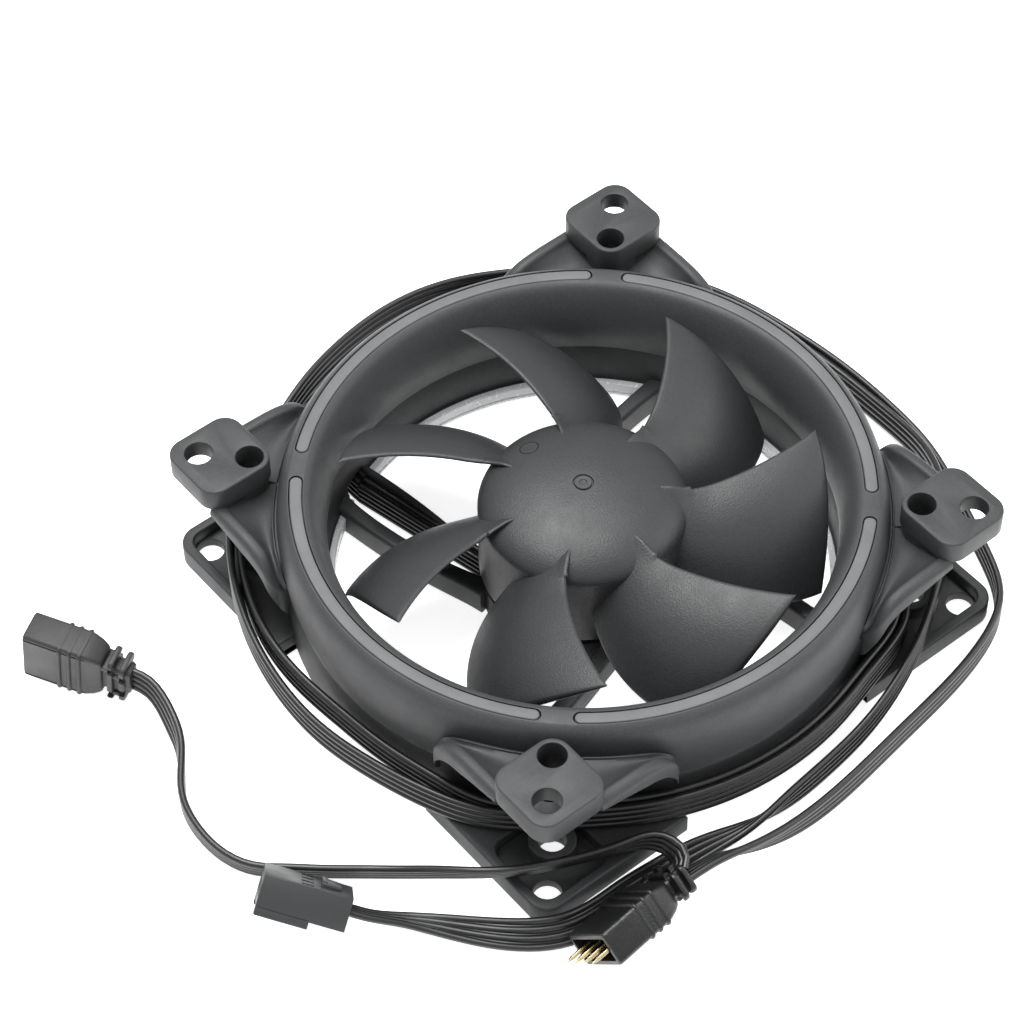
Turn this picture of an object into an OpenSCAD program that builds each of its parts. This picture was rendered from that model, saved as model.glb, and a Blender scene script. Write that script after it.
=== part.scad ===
// Case fan, 92 mm square, 25 mm deep, with a lit front ring and two wound flat cables.
// The fan lies on its rear face. The origin is on the rotor's axis at the rear face, +Z to the front.

/* [Frame] */
// Side of the square that the corner pads fill
frame_side = 92; // [91.5:0.1:92.5]
// Depth from the rear face to the pads' front faces
frame_depth = 25; // [25:0.1:25.5]
// Distance between the outer mounting holes
outer_pitch = 82.5; // [82:0.1:83]
// Distance between the inner mounting holes
inner_pitch = 71.5; // [71:0.1:72]
// Diameter of every mounting hole
mount_hole_d = 4.3; // [4:0.1:4.5]
// Side of each corner pad
pad_side = 12.5; // [12:0.1:13]

/* [Rotor] */
// Number of blades
blade_count = 7; // [5:1:9]
// Radius at the blades' tips
tip_r = 37.2; // [36:0.1:37.5]
// Radius of the hub
hub_r = 16; // [15.8:0.1:16.2]
// Thickness of a blade
blade_t = 1.4; // [1:0.1:1.8]

/* [Cables] */
// Width of a flat cable
cable_w = 5; // [4.5:0.1:5]
// Thickness of a flat cable
cable_t = 1.2; // [1:0.1:1.25]

/* [Hidden] */

hole_r = mount_hole_d / 2;
outer_h = outer_pitch / 2;
inner_h = inner_pitch / 2;
pad_out = frame_side / 2 - 0.75;
pad_mid = pad_out - pad_side / 2;
pad_t = 4;
ring_top = frame_depth - 1;
fine = 96;

// Ring joint between the two halves of the frame: outer step, inner step
joint_out_z = 10.3;
joint_in_z = 11;
cavity_in = 41.4;
cavity_out = 44.3;

strut_h = 5;
strut_w = 2.9;
strut_ring_a = 31.6;
strut_hub_a = 67.6;
base_r = 15.8;
base_h = 5;
screw_r = 46.9;
screw_a = 34.5;
boss_r = 1.5;

tray_leg = 28;
tray_h = 4;
tray_floor = 1.7;
pocket_side = 12.7;
pocket_mid = pad_out - 1.6 - pocket_side / 2;

function polar(r, a) = [r * cos(a), r * sin(a)];
function mix(a, b, t) = a + (b - a) * t;
function arc(c, r, a0, a1, n) = [for (i = [0 : n]) c + polar(r, mix(a0, a1, i / n))];

// Points of a bowed bar in plan, from p to q, bowed by sag to its left
function bar(p, q, sag, w, n = 10) =
    let (d = q - p, len = norm(d), u = d / len, v = [-u[1], u[0]])
    let (mid = [for (i = [0 : n]) p + d * i / n + v * sag * 4 * (i / n) * (1 - i / n)])
    concat([for (m = mid) m + v * w / 2], [for (i = [n : -1 : 0]) mid[i] - v * w / 2]);

module rounded_square(side, r) {
    h = side / 2 - r;
    square([side, side - 2 * r], center = true);
    square([side - 2 * r, side], center = true);
    for (x = [-h, h], y = [-h, h]) translate([x, y]) circle(r, $fn = 48);
}

// Repeats its children at the four corners
module corners() {
    for (k = [0 : 3]) rotate(90 * k) children();
}

module mount_holes(z0, z1) {
    for (h = [outer_h, inner_h])
        translate([h, h, z0]) cylinder(r = hole_r, h = z1 - z0, $fn = 48);
}

// ---------------------------------------------------------------- rear frame

module rear_ring() {
    rotate_extrude($fn = fine) polygon(concat(
        [[39.6, 4], [40, joint_in_z], [cavity_in, joint_in_z], [cavity_in, 3.2], [cavity_out, 3.2]],
        [[cavity_out, joint_out_z], [45.4, joint_out_z], [45.7, 6]],
        arc([43, 3], 3, 0, -90, 8), arc([41.6, 2.2], 2.2, -90, -180, 6), [[39.4, 4]]));
}

// Block under each pad, with a pocket around its mounting holes
module corner_tray() {
    block = frame_side / 2;
    difference() {
        linear_extrude(tray_h) intersection() {
            rounded_square(2 * pad_out + 0.1, 3.5);
            translate([block - tray_leg, block - tray_leg]) square(tray_leg);
        }
        translate([0, 0, tray_floor]) linear_extrude(tray_h) difference() {
            translate([pocket_mid, pocket_mid]) rounded_square(pocket_side, 2.2);
            circle(r = 46.4, $fn = fine);
            translate([inner_h, inner_h]) circle(r = 3.6, $fn = 48);
        }
        translate([0, 0, -1]) cylinder(r = 44.6, h = tray_h + 2, $fn = fine);
        mount_holes(-1, tray_h + 1);
        rotate(screw_a) translate([screw_r, 0, -1]) cylinder(r = 1.1, h = 4, $fn = 32);
    }
}

module struts() {
    pinwheel(strut_w);
    guide_rail(1.4);
}

// Free-ended rail that holds the leads beside one strut
module guide_rail(w) {
    linear_extrude(strut_h) polygon(bar(polar(41, 110.3), polar(20.5, 123.6), 0.5, w));
}

module pinwheel(w) {
    linear_extrude(strut_h) corners()
        polygon(bar(polar(40.2, strut_ring_a), polar(14.8, strut_hub_a), -1.2, w));
}

module rear_frame() {
    color("#2b2d30") difference() {
        union() {
            rear_ring();
            corners() corner_tray();
            struts();
            cylinder(r = base_r, h = base_h, $fn = fine);
        }
        // Bore for the bearing tube, pocket for the motor board and recess for the label
        translate([0, 0, 0.25]) cylinder(r = 4.2, h = 6, $fn = 64);
        difference() {
            translate([0, 0, 1.8]) cylinder(r = 14.4, h = base_h, $fn = fine);
            cylinder(r = 5.4, h = 4.5, $fn = 64);
        }
        translate([0, 0, -1]) cylinder(r = 15.25, h = 1.25, $fn = fine);
        // Notch through the ring and the base wall for the leads
        lead_notch();
        corners() rotate(screw_a) translate([screw_r, 0, -1]) cylinder(r = 1.1, h = 4, $fn = 32);
        corners() rotate(screw_a) translate([screw_r, 0, tray_floor])
            cylinder(r = boss_r + 0.1, h = 12, $fn = 32);
    }
}

// Ways out for the leads: a swept notch through the ring and a slot in the motor base
module lead_notch() {
    translate([0, 0, -1]) linear_extrude(6.6) polygon([
        polar(38.2, 111.5), polar(41, 111.2), polar(43.4, 106.4), polar(47, 96.5),
        polar(48, 106), polar(47, 113), polar(42, 117.5), polar(38.2, 119)]);
    rotate(134) translate([14.2, -2.6, -1]) cube([4, 5.2, 7]);
}

// --------------------------------------------------------------- front frame

function web_top(s) =
    s < 17.5 ? 11 : s > 33 ? 20.2 : 11 + 9.2 * pow(sin(90 * (s - 17.5) / 15.5), 1.5);

// Web sheet of one corner, one side of the diagonal
module web() {
    far = pad_out - 0.4;
    stations = [for (i = [0 : 12]) mix(17.5, far, i / 12)];
    profile = concat([for (s = stations) [s, web_top(s)]],
        [for (i = [12 : -1 : 0]) [stations[i], web_top(stations[i]) - 1.6]]);
    intersection() {
        rotate([90, 0, 0]) translate([0, 0, -far]) linear_extrude(40) polygon(profile);
        linear_extrude(30) polygon([[0, 0], [far, far], [0, far]]);
    }
}

module front_bracket() {
    difference() {
        union() {
            web();
            mirror([1, -1, 0]) web();
            translate([pad_mid, pad_mid, frame_depth - pad_t]) linear_extrude(pad_t)
                rounded_square(pad_side, 3);
            translate([inner_h, inner_h, 18.4]) cylinder(r = 3.4, h = 3, $fn = 48);
            rotate(screw_a) translate([screw_r, 0, tray_floor]) cylinder(r = boss_r, h = 14.6, $fn = 32);
        }
        translate([0, 0, -1]) cylinder(r = 45, h = frame_depth, $fn = fine);
        mount_holes(15, frame_depth + 1);
        rotate(screw_a) translate([screw_r, 0, 0]) cylinder(r = 0.9, h = 9.7, $fn = 32);
    }
}

module front_ring() {
    rotate_extrude($fn = fine) polygon([
        [45.4, joint_out_z], [45.9, 13], [46.4, 17], [46.3, 20], [45.9, 22], [45.2, 23.4],
        [44.4, ring_top], [42.1, ring_top], [41.6, 23.9], [40.9, 23.2], [40.2, 22], [39.3, 19.5],
        [38.8, 16.5], [39.1, 13.6], [39.8, joint_in_z], [cavity_in, joint_in_z],
        [cavity_in, 22.4], [cavity_out, 22.4], [cavity_out, joint_out_z]]);
}

// One of the four arcs of the lit strip, in plan
module strip_arc(r_in, r_out, half_a) {
    r_mid = (r_in + r_out) / 2;
    end_r = (r_out - r_in) / 2;
    difference() {
        circle(r_out, $fn = fine);
        circle(r_in, $fn = fine);
        rotate(half_a) translate([-60, 0]) square([120, 60]);
        rotate(-half_a) translate([-60, -60]) square([120, 60]);
    }
    for (s = [-1, 1]) rotate(s * half_a) translate([r_mid, 0]) circle(end_r, $fn = 24);
}

module front_frame() {
    color("#2f3134") difference() {
        union() {
            front_ring();
            corners() front_bracket();
        }
        corners() translate([0, 0, 21]) linear_extrude(5) strip_arc(42.12, 44.28, 40.6);
    }
}

// ------------------------------------------------------------------ lighting

module light_diffuser() {
    color("#6c6e70") {
        difference() {
            translate([0, 0, 21.4]) cylinder(r = 44.2, h = 0.9, $fn = fine);
            translate([0, 0, 21]) cylinder(r = 41.6, h = 2, $fn = fine);
        }
        corners() translate([0, 0, 21.4]) linear_extrude(ring_top + 0.06 - 21.4)
            strip_arc(42.22, 44.18, 40.5);
    }
}

module inner_light_ring() {
    color("#d9dcdd") difference() {
        translate([0, 0, 1.2]) cylinder(r = 39.35, h = 2.8, $fn = fine);
        translate([0, 0, 1]) cylinder(r1 = 38.4, r2 = 38.2, h = 3.2, $fn = fine);
        pinwheel(strut_w + 0.1);
        guide_rail(1.5);
        lead_notch();
    }
}

module led_board() {
    color("#e6e6e2") translate([0, 0, 18.8]) difference() {
        cylinder(r = 44.1, h = 0.8, $fn = fine);
        translate([0, 0, -1]) cylinder(r = 41.6, h = 3, $fn = fine);
    }
}

module leds() {
    color("#f4efd8") for (k = [0 : 15]) rotate(22.5 * k + 11.25)
        translate([41.9, -0.9, 19.6]) cube([1.8, 1.8, 1.2]);
}

module frame_screws() {
    color("#17181a") corners() rotate(screw_a) translate([screw_r, 0, 0]) {
        translate([0, 0, 0.25]) cylinder(r = 1.05, h = 1.45, $fn = 32);
        translate([0, 0, 1.7]) cylinder(r = 0.9, h = 7, $fn = 32);
        difference() {
            cylinder(r = 1.05, h = 0.3, $fn = 32);
            for (a = [0, 90]) rotate(a) translate([-0.8, -0.15, -0.1]) cube([1.6, 0.3, 0.3]);
        }
    }
}

// --------------------------------------------------------------------- motor

module hub_label() {
    color("#434547") cylinder(r = 15.2, h = 0.25, $fn = fine);
}

module motor_board() {
    color("#2d5a3a") translate([0, 0, 3]) difference() {
        cylinder(r = 14.2, h = 0.8, $fn = 64);
        translate([0, 0, -1]) cylinder(r = 5.6, h = 3, $fn = 64);
    }
}

module hall_sensor() {
    color("#1c1c1e") translate([-2, 9.4, 3.8]) cube([4, 3.2, 1.3]);
}

module core_plan(rim) {
    difference() {
        union() {
            circle(6.2, $fn = 64);
            for (k = [0 : 3]) rotate(90 * k) {
                translate([0, -1.5]) square([9.5, 3]);
                intersection() {
                    difference() {
                        circle(11.4 + rim, $fn = fine);
                        circle(9.6 - rim, $fn = fine);
                    }
                    polygon([[0, 0], polar(16, -36), polar(16, 0), polar(16, 36)]);
                }
            }
        }
        circle(4.2, $fn = 64);
    }
}

module stator_core() {
    color("#8f9296") translate([0, 0, 9.6]) linear_extrude(6) core_plan(0);
}

module stator_insulator() {
    color("#e8e4d4") for (z = [8.8, 15.6]) translate([0, 0, z]) linear_extrude(0.8) core_plan(0);
}

module windings() {
    color("#b4682c") for (k = [0 : 3]) rotate(90 * k) translate([6.4, 0, 12.6]) difference() {
        translate([0, -2.6, -4.9]) cube([2.9, 5.2, 9.8]);
        translate([-1, -1.5, -3.8]) cube([5, 3, 7.6]);
    }
}

module bearing_tube() {
    color("#c2a45a") translate([0, 0, 0.3]) difference() {
        cylinder(r = 4.2, h = 16.9, $fn = 64);
        translate([0, 0, 0.9]) cylinder(r = 3, h = 20, $fn = 64);
    }
}

module bearing_sleeve() {
    color("#a88654") translate([0, 0, 3.2]) difference() {
        cylinder(r = 3, h = 12.8, $fn = 64);
        translate([0, 0, -1]) cylinder(r = 1.05, h = 15, $fn = 48);
    }
}

module thrust_washer() {
    color("#ddd8c8") translate([0, 0, 1.2]) cylinder(r = 2.9, h = 0.3, $fn = 48);
}

module retaining_clip() {
    color("#c9ccd0") translate([0, 0, 2.2]) difference() {
        cylinder(r = 1.9, h = 0.4, $fn = 48);
        translate([0, 0, -1]) cylinder(r = 0.75, h = 3, $fn = 48);
        translate([0, -0.5, -1]) cube([4, 1, 3]);
    }
}

module rotor_shaft() {
    color("#d4d6da") rotate_extrude($fn = 48) polygon([
        [0, 1.55], [0.7, 1.6], [1, 1.9], [1, 2.2], [0.75, 2.2], [0.75, 2.6], [1, 2.6],
        [1, 22], [0, 22]]);
}

module rotor_yoke() {
    color("#74777b") rotate_extrude($fn = fine) polygon([
        [14, 7.2], [14.7, 7.2], [14.7, 22.4], [3.2, 22.4], [3.2, 21.7], [14, 21.7]]);
}

module magnet_ring() {
    color("#3a3a3c") translate([0, 0, 8]) difference() {
        cylinder(r = 14, h = 10.5, $fn = fine);
        translate([0, 0, -1]) cylinder(r = 12.1, h = 13, $fn = fine);
    }
}

// ------------------------------------------------------------------ impeller

module hub() {
    difference() {
        rotate_extrude($fn = fine) polygon(concat(
            [[0, 22.4], [14.7, 22.4], [14.7, 6.3], [hub_r, 6.3], [hub_r, 21.5]],
            arc([hub_r - 2.6, 21.7], 2.6, 5, 90, 6), [[0, 24.5]]));
        translate([0, 0, 23.4]) difference() {
            cylinder(r = 1.6, h = 2, $fn = 32);
            translate([0, 0, -1]) cylinder(r = 1.3, h = 4, $fn = 32);
        }
    }
    // Boss that holds the shaft
    translate([0, 0, 17.6]) difference() {
        cylinder(r = 3.1, h = 5, $fn = 48);
        translate([0, 0, -1]) cylinder(r = 1, h = 5.4, $fn = 48);
    }
}

// Middle surface of a blade: u runs from hub to tip, s from the leading to the trailing edge
function lead_a(u) = -14.4 + 15.2 * u;
function lead_z(u) = 21.8 + 3.4 * u - 1.2 * u * u - blade_t / 2;
function trail_a(u) = -51 + 8.2 * u + 13.3 * u * u;
function trail_z(u) = 11.6 - 4.6 * u + blade_t / 2;
function blade_point(u, s, side) =
    let (r = mix(15.2, tip_r, u))
    let (run = (trail_a(u) - lead_a(u)) * PI / 180 * r, drop = trail_z(u) - lead_z(u))
    let (chord = norm([run, drop]), nx = -drop / chord, nz = run / chord)
    let (camber = 0.09 * chord * 4 * s * (1 - s))
    let (half = side * blade_t / 2 * (0.45 + 2.2 * s * (1 - s)))
    let (x = run * s - nx * (camber + half), z = lead_z(u) + drop * s - nz * (camber + half))
    let (a = lead_a(u) + x / r * 180 / PI)
    [r * cos(a), r * sin(a), z];

module blade() {
    m = 8;
    n = 8;
    row = n + 1;
    layer = (m + 1) * row;
    pts = [for (side = [1, -1], i = [0 : m], j = [0 : n]) blade_point(i / m, j / n, side)];
    function id(k, i, j) = k * layer + i * row + j;
    skins = [for (i = [0 : m - 1], j = [0 : n - 1], t = [0, 1], k = [0, 1])
        let (a = id(k, i, j), b = id(k, i, j + 1), c = id(k, i + 1, j + 1), d = id(k, i + 1, j))
        k == 1 ? (t == 0 ? [a, b, c] : [a, c, d]) : (t == 0 ? [c, b, a] : [d, c, a])];
    ends = [for (j = [0 : n - 1], t = [0, 1], i = [0, m])
        let (a = id(0, i, j), b = id(0, i, j + 1), c = id(1, i, j + 1), d = id(1, i, j))
        i == m ? (t == 0 ? [c, b, a] : [d, c, a]) : (t == 0 ? [a, b, c] : [a, c, d])];
    edges = [for (i = [0 : m - 1], t = [0, 1], j = [0, n])
        let (a = id(0, i, j), b = id(0, i + 1, j), c = id(1, i + 1, j), d = id(1, i, j))
        j == n ? (t == 0 ? [a, b, c] : [a, c, d]) : (t == 0 ? [c, b, a] : [d, c, a])];
    polyhedron(pts, concat(skins, ends, edges));
}

module impeller() {
    color("#34363a") {
        hub();
        for (k = [0 : blade_count - 1]) rotate(28.8 + 360 / blade_count * k) blade();
    }
}

// -------------------------------------------------------------------- cables

// A station is [x, y, z, tilt]: tilt 90 stands the flat cable on edge, 0 lays it flat
function on_ring(a, r, z, tilt = 90) = [r * cos(a), r * sin(a), z, tilt];

// Cross-section: width along the first axis, thickness along the second
section = [[-0.5, -0.28], [-0.36, -0.5], [0.36, -0.5], [0.5, -0.28],
    [0.5, 0.28], [0.36, 0.5], [-0.36, 0.5], [-0.5, 0.28]];

module flat_cable(route) {
    n = len(route);
    k = len(section);
    function spot(i) = [route[i][0], route[i][1], route[i][2]];
    pts = [for (i = [0 : n - 1])
        let (d = spot(min(i + 1, n - 1)) - spot(max(i - 1, 0)), t = d / norm(d))
        let (flat = [-t[1], t[0], 0] / norm([t[0], t[1]]), up = cross(t, flat))
        let (wide = flat * cos(route[i][3]) + up * sin(route[i][3]), thin = cross(t, wide))
        for (q = section) spot(i) + wide * q[0] * cable_w + thin * q[1] * cable_t];
    skins = [for (i = [0 : n - 2], j = [0 : k - 1], t = [0, 1])
        let (a = i * k + j, b = i * k + (j + 1) % k, c = b + k, d = a + k)
        t == 0 ? [a, d, c] : [a, c, b]];
    caps = [for (j = [1 : k - 2]) each [[0, j, j + 1], [(n - 1) * k, (n - 1) * k + j + 1, (n - 1) * k + j]]];
    polyhedron(pts, concat(skins, caps));
}

// The two wound cables leave the notch, pass once round the ring, close to it and out over each
// screw boss, and then make a second, looser turn
function boss_bulge(a) = let (d = abs(((a - screw_a) % 90 + 135) % 90 - 45)) 2 * exp(-d * d / 90);
function first_turn(r) = [for (k = [0 : 20])
    let (a = 79.5 - 11.25 * k) on_ring(a, r + boss_bulge(a), 6.8)];

fan_route = concat(
    [[-16.6, 34.7, 2.9, 90], [-16.6, 38.4, 2.9, 90], [-14.6, 43.1, 2.9, 90], [-8.4, 47.6, 3.4, 90],
     [-1.5, 48.8, 5, 90]],
    first_turn(48.45),
    [on_ring(203, 50.4, 6.6), on_ring(192, 50.3, 6.2),
     on_ring(181, 50.9, 5.8), on_ring(170, 51.6, 5.8), on_ring(159, 52.5, 6.4),
     on_ring(148, 53.5, 6.8), on_ring(137, 54.6, 6.8), on_ring(126, 55.2, 6.8),
     on_ring(115, 55.7, 5.4), on_ring(104, 56.2, 3.4), on_ring(93, 56.7, 2.8),
     on_ring(82, 57.1, 3.4), on_ring(71, 57.5, 5.2), on_ring(60, 57.7, 6.8),
     on_ring(49, 57.8, 6.8), on_ring(38, 57.8, 6.8), on_ring(27, 57.7, 6),
     on_ring(16, 57.6, 4.2)],
    [[57.5, 4, 3, 90], [57.6, -6, 3.2, 90], [56.2, -16.5, 4.6, 90], [51.5, -26, 6.6, 90],
     [45.4, -33.6, 6.8, 90], [38.4, -38.8, 6.8, 90], [31.4, -43.4, 6.8, 90], [24, -47.2, 6.4, 90],
     [14, -50, 4, 90], [4, -51.2, 2.8, 90], [-5, -51.8, 2.7, 80], [-13, -51.2, 2.4, 42],
     [-20, -49.4, 1.4, 14], [-25.6, -48.6, 0.8, 3], [-31, -48.2, 0.75, 0], [-37, -48.5, 1.2, -12],
     [-43.6, -47.8, 2, -30], [-49.8, -43.6, 2, -14], [-55.6, -37.2, 2, 16],
     [-60.6, -32, 2.7, 39], [-64.4, -29.1, 4.2, 45], [-66.6, -26.7, 5.2, 48]]);

light_route = concat(
    [[-15.3, 35.3, 2.9, 90], [-15.2, 38.4, 2.9, 90], [-13.2, 42.9, 2.9, 90], [-7.6, 46.3, 3.4, 90],
     [-1, 47.4, 5, 90]],
    first_turn(47.1),
    [on_ring(203, 47.9, 6.9), on_ring(192, 47.3, 7),
     on_ring(181, 47.4, 7), on_ring(170, 48.8, 7), on_ring(159, 50.5, 7),
     on_ring(148, 51.8, 6.9), on_ring(137, 52.9, 6.9), on_ring(126, 53.6, 6.9),
     on_ring(115, 54.2, 7.6), on_ring(104, 55.1, 8.7), on_ring(93, 56.7, 8.6),
     on_ring(82, 58.2, 8.6), on_ring(71, 59.1, 8), on_ring(60, 59.3, 7),
     on_ring(49, 59.3, 6.8), on_ring(38, 59.3, 6.8), on_ring(27, 59.2, 5.8),
     on_ring(16, 59.1, 4)],
    [[59, 4, 3, 90], [59.2, -6, 2.8, 90], [57.8, -17, 2.8, 90], [54, -28, 2.8, 90],
     [50.2, -37.4, 2.8, 90], [45.4, -45.4, 2.8, 90], [37, -50, 2.8, 90], [27, -52.4, 2.8, 90],
     [17, -53.9, 2.8, 90], [6.6, -55.4, 2.8, 90], [-4, -56.2, 2.9, 86], [-13.6, -55.5, 4.1, 68],
     [-20.6, -54, 5.1, 50], [-26.5, -53.6, 5.35, 45]]);

link_route = [
    [-26.6, -52.55, 6.3, 130], [-25.2, -51.7, 6.45, 118], [-24.6, -49.8, 6.6, 100],
    [-25.2, -47.5, 6.65, 88], [-27, -45.8, 6.7, 79], [-29.8, -44.7, 6.8, 71], [-34.3, -43, 6.8, 66],
    [-38.5, -41.1, 6.7, 65], [-43.7, -38.4, 6.6, 65], [-48.4, -34.9, 6.4, 65],
    [-52, -30.6, 5, 67], [-55.8, -25.9, 3.2, 69], [-60.2, -21.7, 2.65, 70], [-64.6, -18, 2.7, 70],
    [-68, -14.9, 2.7, 70], [-71.7, -11.4, 2.7, 72], [-73.7, -7, 2.75, 76], [-74.1, -1.5, 2.75, 82],
    [-72.7, 4.6, 2.65, 88], [-69.5, 9.6, 2.65, 94], [-67.2, 13.2, 2.8, 98], [-65.9, 17.1, 3.2, 102],
    [-65.1, 20.9, 3.8, 99], [-65.2, 24.2, 4.4, 94], [-66.1, 26.4, 4.7, 91]];

module motor_leads() {
    color("#1b1c1e") translate([0, 0, 0.4]) linear_extrude(4.5) {
        polygon(bar([-16.6, 34.7], [-11.4, 10.8], 0, 1.2, 2));
        polygon(bar([-15.3, 35.3], [-10.1, 11.4], 0, 1.1, 2));
    }
}

module fan_cable() { color("#1e1f21") flat_cable(fan_route); }
module light_cable() { color("#1e1f21") flat_cable(light_route); }
module link_cable() { color("#1e1f21") flat_cable(link_route); }

// ---------------------------------------------------------------- connectors

// Places a connector: its mouth's centre, its heading from mouth to cable, its roll and its pitch
module at_mouth(p, heading, roll, pitch) {
    translate(p) rotate([0, pitch, heading]) rotate([roll, 0, 0]) children();
}
module light_plug_place() { at_mouth([-44, -54.9, 5.8], 6, -48, 0) children(); }
module light_socket_place() { at_mouth([-74.9, 40.8, 6.45], -58.5, 91, 6) children(); }
module fan_plug_place() { at_mouth([-76.3, -18.4, 6.85], -49, -48, 15) children(); }

// A box centred on Y and Z, running along X, with its long edges rounded
module rounded_bar(x0, x1, w, h, r) {
    translate([x0, 0, 0]) rotate([90, 0, 90]) linear_extrude(x1 - x0) {
        square([w, h - 2 * r], center = true);
        square([w - 2 * r, h], center = true);
        for (y = [-1, 1], z = [-1, 1])
            translate([y * (w / 2 - r), z * (h / 2 - r)]) circle(r, $fn = 24);
    }
}

// Collars of a moulded strain relief, with the core that joins them
module relief_collars(x0, length) {
    rounded_bar(x0, x0 + length, 5.8, 3.2, 0.8);
    for (k = [0 : 1]) rounded_bar(x0 + 0.9 + 1.9 * k, x0 + 1.8 + 1.9 * k, 9.2 - k, 4.6, 1);
}

module moulded_body(length, relief) {
    difference() {
        union() {
            rounded_bar(0, length, 10.2, 5.4, 0.7);
            for (k = [0 : 2])
                rounded_bar(length - 7 + 1.6 * k, length - 6.3 + 1.6 * k, 10.3, 6.2, 0.9);
        }
        translate([-1, -4.4, -1.9]) cube([10, 8.8, 3.8]);
    }
    relief_collars(length, relief);
}

module light_plug_body() {
    color("#26272a") light_plug_place() moulded_body(13.4, 4.4);
}
module light_plug_insert() {
    color("#131315") light_plug_place() difference() {
        translate([5, -4.4, -1.9]) cube([4, 8.8, 3.8]);
        pin_row(0, 12, 0.66);
    }
}
module pin_row(x0, x1, side) {
    for (k = [-1.5 : 1.5]) translate([x0, 2.54 * k - side / 2, -side / 2])
        cube([x1 - x0, side, side]);
}
module light_plug_pins() {
    color("#c9a14a") light_plug_place() pin_row(-3, 9, 0.64);
}

module light_socket_body() {
    color("#2c2d30") light_socket_place() moulded_body(12.6, 4.4);
}
module light_socket_insert() {
    color("#151517") light_socket_place() difference() {
        translate([0.4, -4.4, -1.9]) cube([8.6, 8.8, 3.8]);
        pin_row(-1, 8.2, 1.16);
    }
}
module light_socket_contacts() {
    color("#b9974f") light_socket_place() difference() {
        pin_row(1.2, 8.2, 1.1);
        pin_row(0, 7.4, 0.8);
    }
}

// Crimp housing with two guide ribs below its mouth and a latch above its cable end
module fan_plug_housing() {
    color("#333438") fan_plug_place() difference() {
        union() {
            translate([0, -4.7, 0]) cube([13.1, 9.4, 5]);
            for (y = [-4.7, 2.9]) translate([0, y, -1.05]) cube([7.9, 1.8, 2]);
            translate([8.3, -2, 4.5]) cube([3, 4, 1.3]);
        }
        for (k = [-1.5 : 1.5]) translate([-1, 2.3 * k - 0.65, 1.4]) cube([12.6, 1.3, 2]);
        translate([11.4, -2.8, 1.5]) cube([3, 5.6, 2]);
    }
}
module fan_plug_terminals() {
    color("#c3c5c8") fan_plug_place() for (k = [-1.5 : 1.5])
        translate([1, 2.3 * k - 0.55, 1.6]) difference() {
            cube([10.4, 1.1, 1.6]);
            translate([-1, 0.2, 0.3]) cube([8, 0.7, 1]);
        }
}

rear_frame();
front_frame();
light_diffuser();
inner_light_ring();
led_board();
leds();
frame_screws();
hub_label();
motor_board();
hall_sensor();
stator_core();
stator_insulator();
windings();
bearing_tube();
bearing_sleeve();
thrust_washer();
retaining_clip();
motor_leads();
light_plug_body();
light_plug_insert();
light_plug_pins();
light_socket_body();
light_socket_insert();
light_socket_contacts();
fan_plug_housing();
fan_plug_terminals();
fan_cable();
light_cable();
link_cable();
impeller();
rotor_yoke();
magnet_ring();
rotor_shaft();
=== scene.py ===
import math
import bmesh
import bpy
import numpy as np
from mathutils import Matrix, Vector
from mathutils.geometry import tessellate_polygon


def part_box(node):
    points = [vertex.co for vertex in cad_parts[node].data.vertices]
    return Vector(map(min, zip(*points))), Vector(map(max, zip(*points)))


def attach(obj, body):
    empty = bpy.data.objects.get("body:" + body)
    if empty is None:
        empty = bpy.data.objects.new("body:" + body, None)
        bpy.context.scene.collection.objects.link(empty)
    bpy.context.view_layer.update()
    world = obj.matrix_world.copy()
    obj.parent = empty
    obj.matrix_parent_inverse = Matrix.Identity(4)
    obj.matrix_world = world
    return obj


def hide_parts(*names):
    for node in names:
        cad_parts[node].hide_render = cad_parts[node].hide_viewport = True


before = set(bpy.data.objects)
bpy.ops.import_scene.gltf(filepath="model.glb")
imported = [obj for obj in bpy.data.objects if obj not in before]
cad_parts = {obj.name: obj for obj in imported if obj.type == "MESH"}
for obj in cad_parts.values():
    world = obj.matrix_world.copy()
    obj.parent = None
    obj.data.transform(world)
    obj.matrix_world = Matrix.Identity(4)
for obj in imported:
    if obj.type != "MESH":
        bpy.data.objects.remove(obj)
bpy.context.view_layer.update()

MM = 0.001

# ------------------------------------------------------------------ camera
TARGET = Vector((-5.7287, 10.0569, 12.5)) * MM
AZIMUTH = math.radians(-38.593)
ELEVATION = math.radians(50.555)
ROLL = math.radians(-0.904)
DISTANCE = 511.468 * MM
LENS_MM = 117.115
SENSOR_MM = 36.0


def add_camera():
    back = Vector((math.sin(AZIMUTH) * math.cos(ELEVATION),
                   -math.cos(AZIMUTH) * math.cos(ELEVATION), math.sin(ELEVATION)))
    right = Vector((math.cos(AZIMUTH), math.sin(AZIMUTH), 0))
    up = back.cross(right)
    x_axis = right * math.cos(ROLL) + up * math.sin(ROLL)
    y_axis = up * math.cos(ROLL) - right * math.sin(ROLL)
    data = bpy.data.cameras.new("camera")
    data.lens = LENS_MM
    data.sensor_width = SENSOR_MM
    data.clip_start = 0.01
    data.clip_end = 20
    cam = bpy.data.objects.new("camera", data)
    bpy.context.scene.collection.objects.link(cam)
    cam.matrix_world = Matrix.Translation(TARGET + back * DISTANCE) @ Matrix(
        (x_axis, y_axis, back)).transposed().to_4x4()
    bpy.context.scene.camera = cam


add_camera()


# ------------------------------------------------------------------ mesh kit
# A part is (points, faces): points are rows of millimetres, faces are tuples of point numbers.
def polar(r, degrees):
    return np.array([r * math.cos(math.radians(degrees)), r * math.sin(math.radians(degrees))])


def mix(a, b, t):
    return a + (b - a) * t


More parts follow.
